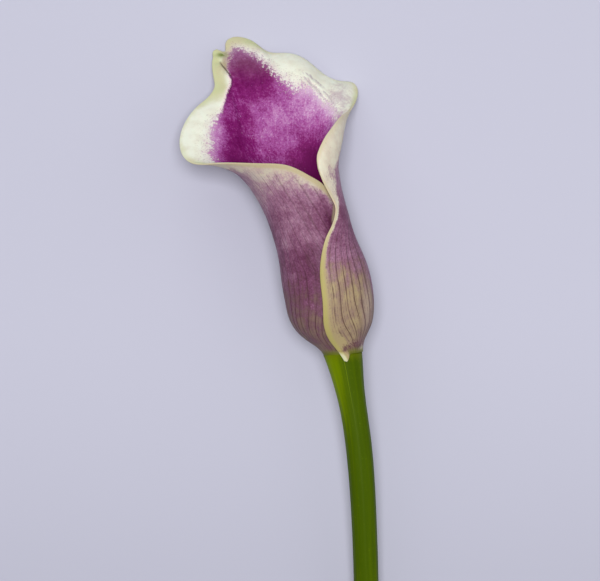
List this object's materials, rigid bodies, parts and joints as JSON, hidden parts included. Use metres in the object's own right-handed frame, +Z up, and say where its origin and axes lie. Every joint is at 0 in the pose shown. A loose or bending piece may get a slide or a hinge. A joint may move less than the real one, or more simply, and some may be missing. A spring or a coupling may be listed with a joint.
{
  "type": "calla lily flower",
  "caption": "Cut calla lily bloom lying down: a rolled funnel spathe with a flared, pointed rim round a finger-shaped spadix, on a smooth round stem.",
  "frame": {"origin": "middle of the object's box in X and Y, on the surface that it lies on", "axes": "+Y along the flower from the cut end of the stem to the tip of the spathe, +Z up from the surface, out of the open front of the spathe, +X to the right looking along +Y"},
  "size_m": [0.0728, 0.2498, 0.0473],
  "materials": {
    "stem": "smooth waxy green plant skin, soft sheen",
    "spathe": "thin fleshy petal, satin, magenta throat speckling out into a cream margin, mauve veined outside",
    "spadix": "powdery yellow spike of tiny packed florets"
  },
  "bodies": {
    "root": {"stem": "stem", "spathe": "spathe", "spadix": "spadix"}
  },
  "joints": []
}
